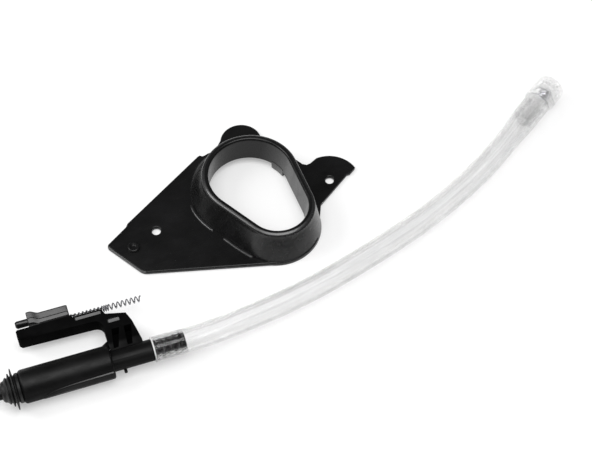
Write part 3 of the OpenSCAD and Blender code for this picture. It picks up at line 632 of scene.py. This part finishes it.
# the beads are real ridges; their lighter, glossier black paints a highlight on them
ridge("base_bead_upper", [(22.2, 9.6), (22.4, 5), (23.2, 1.0), (24.7, -3.4), (27.0, -8.2), (28.3, -10.4)],
      1.9, 0.9, 2.45, "painted_sheen_black", "bracket_set")
ridge("base_bead_lower", [(31.8, -16.6), (33.2, -19.0), (36.9, -25.3), (40.6, -30.7), (42.5, -33.2)],
      1.9, 0.85, 2.45, "painted_sheen_black", "bracket_set")
ridge("plate_edge_bead",
      [(-25.9, -1.2), (-25.5, -2.6), (-20.2, -11.4), (-14.9, -20.1), (-13.6, -21.7), (-12.0, -22.6)],
      1.3, 0.5, 2.3, "painted_sheen_black", "bracket_set")

base_r = R2 + rim_w + flare
base_far = FAR + FS
tang = base_far + base_r * Vector((cos(radians(255)), sin(radians(255))))
HOLE2 = Vector((97.6, 0))
left_wing = (arc((-24.2, -1.2), 2.6, radians(140), radians(210), 8)
             + arc((-10.2, -17.4), 6, radians(210), radians(255), 8) + [tang])
base_arc = arc(base_far, base_r, radians(255), radians(318), 20)
ear = [HOLE2 + Vector(p) for p in [(-9.9, -13.4), (10.1, 0.4), (11.8, 0.4), (15.4, 2.7)]]
ear_top = arc(HOLE2, 16.4, radians(12), radians(96), 20)
ear_back = [HOLE2 + Vector(p) for p in [(-6, 14.2), (-8.1, 13.9), (-10, 15.2), (-12.7, 19.8)]]
lobe = arc((61, 41.2), 11.3, radians(5), radians(158), 26)
outline = (left_wing + base_arc + ear + ear_top + ear_back + [Vector((74.5, 24)), Vector((72.4, 40))]
           + lobe + [Vector((44.6, 39.0)), Vector((38, 38.6)), Vector((36.6, 39.6)), Vector((35.4, 39.2)),
                     Vector((-13, 9.8)), Vector((-14.4, 7.9))])
hole_r = 2.3
holes = [list(reversed(egg(rim_w + flare - 1.3, 1))), list(reversed(arc((0, 0), hole_r, 0, 2 * pi, 40)[:-1])),
         list(reversed(arc(HOLE2, hole_r, 0, 2 * pi, 40)[:-1]))]
plan("bracket_plate", outline, 0, 2.5, 0.8, "bracket_black", "bracket_set", ["bracket"], holes,
     origin=Vector((0, 0, 0)), turn=BT)

peg_r = 3.2
lathe("bracket_peg_head",
      [(0, 0.0), (1.6, 0.0), (1.6, 2.4), (peg_r - 0.15, 2.45), (peg_r, 2.7), (peg_r, 3.3), (peg_r - 0.12, 3.7),
       (peg_r - 0.5, 4.02), (peg_r - 1.0, 4.1), (peg_r - 1.4, 3.98), (peg_r - 1.7, 3.6), (peg_r - 2.0, 3.4),
       (0, 3.4)],
      "bracket_black", "bracket_set", ["bracket_peg"], segs=56,
      origin=turn_z(Vector((-14.2, -6.4, 0))), turn=Matrix.Rotation(radians(-90), 3, "Y"))

# ---------------------------------------------------------------- pump pieces
def bridge_shape(v):
    """Runs the bridge's two pockets on to the collar."""
    if -18.7 < v.x < -7.5 and 5.4 < v.y < 5.6 and -2.4 < v.z < 4.4:
        v.y -= 1.1
    return v


softened("pump_body", "pump_moulding", 0.3, shape=bridge_shape)
PAD0, PAD1 = -55.3, -34.6  # front and rear of the slider's pad
LATCH_Y, LATCH_Z = 31.6, -1.7  # axis of the latch spring and its guide


def slide_block(v):
    """The slider's block and pin; its pad shrinks to fit inside the faceted grip."""
    if v.y > 32.6 and abs(v.z) > 2.7:
        v.z = copysign(2.2, v.z)
    if v.y > 35.8:
        v.y = 35.8
    return v


softened("latch_slider", "latch_slide_moulding", 0.25, shape=slide_block)


def sweep(name, section, stations, mat, body, shift=None, sharp=40):
    """Carries a closed section [y, z] along X; each station is [x, scale about the section's centre]."""
    c = sum((Vector(q) for q in section), Vector((0, 0))) / len(section)
    rings = []
    for x, k in stations:
        dy, dz = shift(x) if shift else (0, 0)
        rings.append([PUMP + Vector((x, c.x + (q[0] - c.x) * k + dy, c.y + (q[1] - c.y) * k + dz))
                      for q in section])
    faces = capped_faces(len(rings), len(section))
    return piece(name, [v for r in rings for v in r], faces, mat, body, sharp=sharp)


def grip_shift(x):
    """The grip steps outwards at its front into a finger ridge."""
    k = max(0, min(1, (PAD0 + 6.4 - x) / 4.6))
    k = k * k * (3 - 2 * k)
    return 1.3 * k, 1.1 * k


GRIP = rounded([(30.3, -3.3), (30.3, 1.9), (30.75, 2.45), (33.0, 3.4), (33.35, 2.95), (36.1, 4.0), (36.7, 3.5),
                (36.9, 2.6), (36.9, -3.0), (36.3, -3.5), (31.0, -3.5)],
               [0.3, 0.4, 0.25, 0.3, 0.15, 0.45, 0.4, 0.4, 0.3, 0.3, 0.3], 3, closed=True)
sweep("latch_grip", GRIP, [(PAD0, 0.9), (PAD0 + 0.12, 0.955), (PAD0 + 0.4, 0.99), (PAD0 + 0.8, 1)]
      + [(PAD0 + 1.4 + 0.55 * i, 1) for i in range(12)]
      + [(PAD1 - 6, 1), (PAD1 - 1.2, 1), (PAD1 - 0.6, 0.985), (PAD1 - 0.2, 0.95), (PAD1, 0.9)],
      "slider_black", "latch", shift=grip_shift)
lathe("latch_guide",
      rounded([(0, PAD1 - 0.6), (0.95, PAD1 - 0.6), (0.95, -18.0), (0, -18.0)], [0, 0, 0.4, 0], 4),
      "slider_black", "latch", segs=32, origin=PUMP + Vector((0, LATCH_Y, LATCH_Z)))


def facet_bar(name, x0, x1, y0, y1, z0, rise, mat, body):
    """A moulded rib whose top slopes up from y0 to y1, with rounded ends."""
    sec = rounded([(y0, z0 - 0.4), (y0, z0 + 0.12), (y1 - 0.3, z0 + rise), (y1, z0 + rise - 0.3),
                   (y1, z0 - 0.4)],
                  [0, 0.15, 0.3, 0.25, 0], 3)
    rings = []
    for x, k in [(x0, 0.0), (x0 + 0.15, 0.55), (x0 + 0.5, 0.9), (x0 + 1.0, 1.0),
                 (x1 - 1.0, 1.0), (x1 - 0.5, 0.9), (x1 - 0.15, 0.55), (x1, 0.0)]:
        ym, wide, tall = (y0 + y1) / 2, 0.75 + 0.25 * k, 0.6 + 0.4 * k
        rings.append([PUMP + Vector((x, ym + (q.x - ym) * wide, z0 - 0.4 + (q.y - z0 + 0.4) * tall))
                      for q in sec])
    faces = capped_faces(len(rings), len(rings[0]))
    return piece(name, [v for r in rings for v in r], faces, mat, body, sharp=45)


# these two real ribs on the body take the slider's lighter, glossier black as a painted highlight
facet_bar("arm_lip", -32.8, -19.0, 25.6, 28.05, 4.2, 0.95, "slider_black", "pump")
facet_bar("bridge_lip", -17.6, -11.0, 19.1, 21.35, 4.2, 0.95, "slider_black", "pump")


BARREL_R = 8.5


def rib_section(x):
    """Rib along the barrel's near side; its top edge climbs from front to rear."""
    top = -2.2 + 5.4 * (1 - exp(-(x + 58) / 5))
    if x < -56.2:
        land = 0.06 * (x + 62.2)
    elif x < -50.2:
        land = 0.36 + 0.03 * (x + 56.2)
    else:
        land = 0.54 + 0.0126 * (x + 50.2)
    wall = max(-BARREL_R + land, -sqrt(BARREL_R ** 2 - top ** 2))
    out = -8.42
    low = -4.2
    return rounded([(wall + 0.9, top + 0.1), (wall + 0.3, top + 0.25), (out + 0.1, top - 0.15),
                    (out, top - 0.7), (out + 0.02, min(-1.4, top - 0.9)), (-7.6, low), (-6.6, low)],
                   [0, 0.15, 0.2, 0.2, 0.4, 0.1, 0], 3)


rib_x = [-58, -57.6, -57, -56, -54.5, -52.5, -50, -47, -43, -38, -33, -28, -24, -22.4, -21.6, -21.1, -20.8]
rib_rings = []
for x in rib_x:
    sec = rib_section(x)
    k = min(1, 0.35 + (x + 58) / 1.6, 0.5 + (-20.8 - x) / 0.9)
    cy, cz = -7.2, sum(q.y for q in sec) / len(sec)
    rib_rings.append([PUMP + Vector((x, cy + (q.x - cy) * k, cz + (q.y - cz) * (0.4 + 0.6 * k))) for q in sec])
rib = piece("barrel_rib", [v for r in rib_rings for v in r], capped_faces(len(rib_rings), len(rib_rings[0])),
            "body_black", "pump", sharp=18)
# the rib's upward faces take that lighter, glossier copy as a painted highlight
rib.data.materials.append(M["rib_sheen_black"])
for p in rib.data.polygons:
    if p.normal.z > 0.35 and p.normal.y < 0.2:
        p.material_index = 1
softened("nozzle_tip", "nozzle_moulding", 0.25)

fold, lip, second, S = 6.8, 10.4, 8.3, -66.7
nose_r, nose_x = 3.45, -76.2
BULB = rounded([(5.6, S + 0.02), (fold + 0.8, S + 0.02), (fold + 0.8, S - 1.4), (fold - 0.1, S - 2.1),
                (fold, S - 2.5), (lip - 0.7, S - 2.75), (lip, S - 2.85), (lip, S - 3.35), (lip - 0.7, S - 3.45),
                (fold, S - 3.75), (fold - 0.1, S - 4.1), (second, S - 4.5), (second, S - 5.0),
                (fold - 0.5, S - 5.4), (fold - 0.5, S - 5.8), (fold - 0.1, S - 6.1), (fold - 0.1, S - 6.6),
                (fold - 1.4, S - 7.6), (nose_r + 1.7, S - 8.7), (nose_r + 0.8, nose_x), (nose_r, nose_x),
                (nose_r, nose_x + 1.8), (5.3, nose_x + 1.8), (5.3, -69.1), (5.6, -68.9)],
               [0, 0.3, 0.3, 0.3, 0.2, 0.2, 0.28, 0.28, 0.2, 0.2, 0.2, 0.25, 0.25, 0.25, 0.25,
                0.3, 0.3, 0.5, 0.6, 0.4, 0.2, 0, 0, 0, 0], 4)
bulb = lathe("bulb_bellows", BULB, "bulb_rubber", "pump", ["bulb"], segs=112, sharp=60)
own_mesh(bulb)

peak, root, barb = 4.75, 4.25, 3.32
TAIL = [(2.1, 16.6), (root - 0.25, 16.6)]
for i in reversed(range(5)):
    TAIL += [(root, (i + 1) * barb), (peak - 0.02, i * barb + 1.0), (peak, i * barb + 0.75),
             (peak - 0.12, i * barb + 0.45), (root + 0.05, i * barb + 0.3), (root, i * barb + 0.1)]
TAIL += [(root, -0.2), (4.1, -0.2), (4.1, -3), (2.1, -3)]
lathe("tail_barbs", TAIL, "tail_black", "pump", ["hose_tail"], segs=80, sharp=50)


def spring(name, runs, mean_d, wire, start, body, node, rings_per_turn=28, sides=12):
    r = mean_d / 2
    total = sum(t for t, _ in runs)
    n = round(total * rings_per_turn)

    def along(t):
        x = 0
        for turns, pitch in runs:
            k = min(turns, t)
            x += k * pitch
            t -= k
            if t <= 0:
                break
        return x

    pts = [Vector((0, r, 0))]
    for i in range(n + 1):
        t = total * i / n
        pts.append(Vector((wire + along(t), r * cos(2 * pi * t), r * sin(2 * pi * t))))
    pts.append(Vector((2 * wire + along(total), r * cos(2 * pi * total), r * sin(2 * pi * total))))
    verts = []
    for i, p in enumerate(pts):
        t = (pts[min(i + 1, len(pts) - 1)] - pts[max(i - 1, 0)]).normalized()
        nrm = Vector((0, p.y, p.z)).normalized()
        b = t.cross(nrm).normalized()
        m = b.cross(t)
        for k in range(sides):
            a = 2 * pi * k / sides
            verts.append(p + wire / 2 * (cos(a) * m + sin(a) * b) + start)
    faces = grid_faces(len(pts), sides)
    faces += [tuple(reversed(range(sides))), tuple((len(pts) - 1) * sides + k for k in range(sides))]
    return piece(name, verts, faces, "spring_steel", body, [node], sharp=50)


spring("latch_coil", [(8, 2), (3, 1.1), (7, 2.35)], 2.9, 0.7, PUMP + Vector((PAD1, LATCH_Y, LATCH_Z)),
       "latch", "latch_spring")


def coil(node, name):
    """An inner spring, copied from its CAD node with a mesh of its own."""
    me = frame["nodes"][node].data.copy()
    me.name = name
    body = next(b for b, ns in frame["record"]["behaviour"]["bodies"].items() if node in ns)
    ob = finish_piece(name, me, slots[node], body, [node], sharp=50)
    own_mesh(ob)


coil("inlet_spring", "inlet_coil")
coil("outlet_spring", "outlet_coil")
coil("return_spring", "return_coil")

# ---------------------------------------------------------------- floor, light
me = bpy.data.meshes.new("floor")
W = 6.0
me.from_pydata([(-W, -W, 0), (W, -W, 0), (W, W, 0), (-W, W, 0)], [], [(0, 1, 2, 3)])
floor = bpy.data.objects.new("floor", me)
scene.collection.objects.link(floor)
floor.location.z = cad_box[0][2] - 0.0001
mat, tree, bsdf = new_material("floor_paper")
paper_tint = ramp(tree, noise(tree, 2, 2), [(0.3, grey(0.955)), (0.7, grey(0.97))])
tree.links.new(paper_tint, bsdf.inputs["Base Color"])
bsdf.inputs["Roughness"].default_value = 0.9
bsdf.inputs["Specular IOR Level"].default_value = 0.0
# for diffuse rays the floor is dull, so that little of its light comes back on to the black pieces
dull = tree.nodes.new("ShaderNodeBsdfDiffuse")
dull.inputs["Color"].default_value = (0.06, 0.06, 0.06, 1)
rays = tree.nodes.new("ShaderNodeLightPath")
both = tree.nodes.new("ShaderNodeMixShader")
glow = tree.nodes.new("ShaderNodeEmission")
glow.inputs["Color"].default_value = (1, 1, 1, 1)
glow.inputs["Strength"].default_value = 1
paper = tree.nodes.new("ShaderNodeMixShader")
paper.inputs[0].default_value = 0.36
tree.links.new(bsdf.outputs[0], paper.inputs[1])
tree.links.new(glow.outputs[0], paper.inputs[2])
tree.links.new(rays.outputs["Is Diffuse Ray"], both.inputs[0])
tree.links.new(paper.outputs[0], both.inputs[1])
tree.links.new(dull.outputs[0], both.inputs[2])
out = next(n for n in tree.nodes if n.type == "OUTPUT_MATERIAL")
tree.links.new(both.outputs[0], out.inputs["Surface"])
me.materials.append(mat)

world = bpy.data.worlds.new("studio")
scene.world = world
world.use_nodes = True
wt = world.node_tree
bg = next(n for n in wt.nodes if n.type == "BACKGROUND")
bg.inputs["Color"].default_value = (1, 1, 1, 1)
bg.inputs["Strength"].default_value = 0.42
# glossy rays that haven't been refracted find a dim world, which keeps the black pieces dark
dim = wt.nodes.new("ShaderNodeBackground")
dim.inputs["Color"].default_value = (1, 1, 1, 1)
dim.inputs["Strength"].default_value = 0.06
rays = wt.nodes.new("ShaderNodeLightPath")
outside = wt.nodes.new("ShaderNodeMath")
outside.operation = "LESS_THAN"
outside.inputs[1].default_value = 0.5
wt.links.new(rays.outputs["Transmission Depth"], outside.inputs[0])
gloss = wt.nodes.new("ShaderNodeMath")
gloss.operation = "MULTIPLY"
wt.links.new(rays.outputs["Is Glossy Ray"], gloss.inputs[0])
wt.links.new(outside.outputs[0], gloss.inputs[1])
both = wt.nodes.new("ShaderNodeMixShader")
wt.links.new(gloss.outputs[0], both.inputs[0])
wt.links.new(bg.outputs[0], both.inputs[1])
wt.links.new(dim.outputs[0], both.inputs[2])
wt.links.new(both.outputs[0], next(n for n in wt.nodes if n.type == "OUTPUT_WORLD").inputs["Surface"])


def area(name, location, target, size, power, size_y=None):
    light = bpy.data.lights.new(name, "AREA")
    light.shape = "RECTANGLE" if size_y else "SQUARE"
    light.size = size
    if size_y:
        light.size_y = size_y
    light.energy = power
    ob = bpy.data.objects.new(name, light)
    scene.collection.objects.link(ob)
    ob.location = location
    ob.rotation_euler = (Vector(target) - Vector(location)).to_track_quat("-Z", "Y").to_euler()
    return ob


area("overhead", (-0.02, -0.36, 1.5), (0.05, -0.02, 0), 1.4, 16, 0.9)
area("side", (-1.0, 0.35, 1.05), (0.05, -0.02, 0), 0.7, 8)
